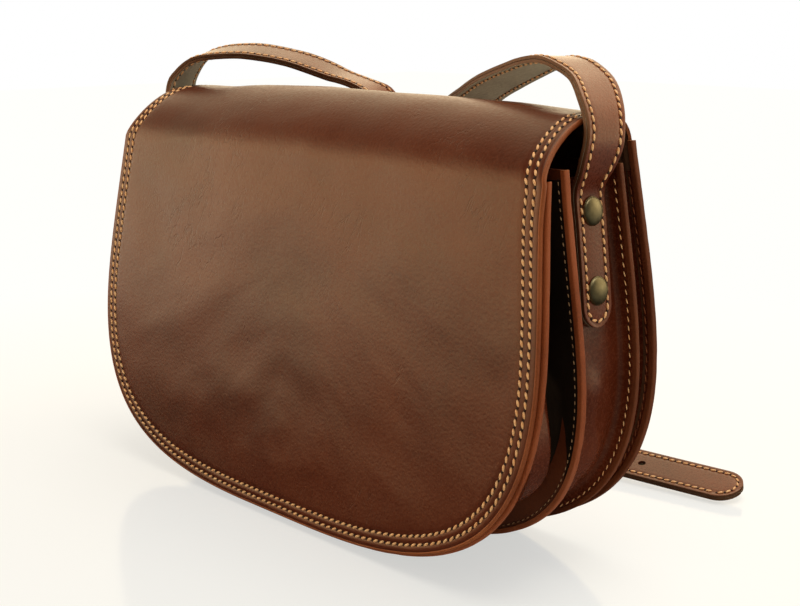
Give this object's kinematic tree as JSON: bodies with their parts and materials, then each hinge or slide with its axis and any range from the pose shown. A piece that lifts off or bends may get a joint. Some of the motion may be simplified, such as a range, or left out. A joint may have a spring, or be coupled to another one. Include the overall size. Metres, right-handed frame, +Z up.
{
  "type": "leather flap bag",
  "caption": "Upright leather flap bag with three bound pockets side by side, a front flap and a riveted, buckled shoulder strap that arches over the top and rests on the floor behind.",
  "frame": {"origin": "on the floor, under the middle of the front divider's binding, in the middle of the bag's width", "axes": "+Z up, front of the flap towards -Y, +X towards the side of the bag that holds the short strap"},
  "size_m": [0.2949, 0.1829, 0.2048],
  "materials": {
    "flap_leather": "glossy, vegetable tanned",
    "body_leather": "glossy",
    "gusset_leather": "glossy, very dark",
    "binding_leather": "satin, reddish tan",
    "strap_leather": "glossy",
    "lining_leather": "matt flesh side",
    "antique_brass": "antique, polished high spots",
    "magnet_steel": "plain nickel"
  },
  "bodies": {
    "bag": {"front_panel": "body_leather", "front_gusset": "gusset_leather", "front_binding": "binding_leather", "front_divider": "body_leather", "front_divider_binding": "binding_leather", "middle_gusset": "gusset_leather", "rear_divider": "body_leather", "rear_divider_binding": "binding_leather", "rear_gusset": "gusset_leather", "back_panel": "flap_leather", "back_binding": "binding_leather", "snap_socket": "magnet_steel", "left_strap_end": "strap_leather", "left_strap_end_lining": "lining_leather", "left_lower_rivet": "antique_brass", "left_lower_rivet_back": "antique_brass", "left_upper_rivet": "antique_brass", "left_upper_rivet_back": "antique_brass", "right_strap_end": "strap_leather", "right_strap_end_lining": "lining_leather", "right_lower_rivet": "antique_brass", "right_lower_rivet_back": "antique_brass", "right_upper_rivet": "antique_brass", "right_upper_rivet_back": "antique_brass"},
    "flap": {"flap_outer": "flap_leather", "flap_lining": "lining_leather", "snap_stud": "magnet_steel"},
    "strap": {"short_strap": "strap_leather", "short_strap_lining": "lining_leather", "long_strap": "strap_leather", "long_strap_lining": "lining_leather", "buckle_frame": "antique_brass", "buckle_chape": "strap_leather"},
    "keeper": {"strap_keeper": "strap_leather"},
    "prong": {"buckle_prong": "antique_brass"}
  },
  "joints": [
    {"name": "flap_lift", "type": "hinge", "parent": "bag", "child": "flap", "pos_m": [0, 0.01048, 0.1891], "axis": [-1, 0, 0], "range_deg": [0, 52]},
    {"name": "strap_lift", "type": "hinge", "parent": "bag", "child": "strap", "pos_m": [0, 0.03548, 0.20592], "axis": [1, 0, 0], "range_deg": [0, 140]},
    {"name": "keeper_slide", "type": "slide", "parent": "strap", "child": "keeper", "axis": [1, 0, 0], "range_m": [0, 0.009]},
    {"name": "prong_lift", "type": "hinge", "parent": "strap", "child": "prong", "pos_m": [-0.091, 0.09448, 0.00267], "axis": [0, 1, 0], "range_deg": [0, 12]}
  ]
}
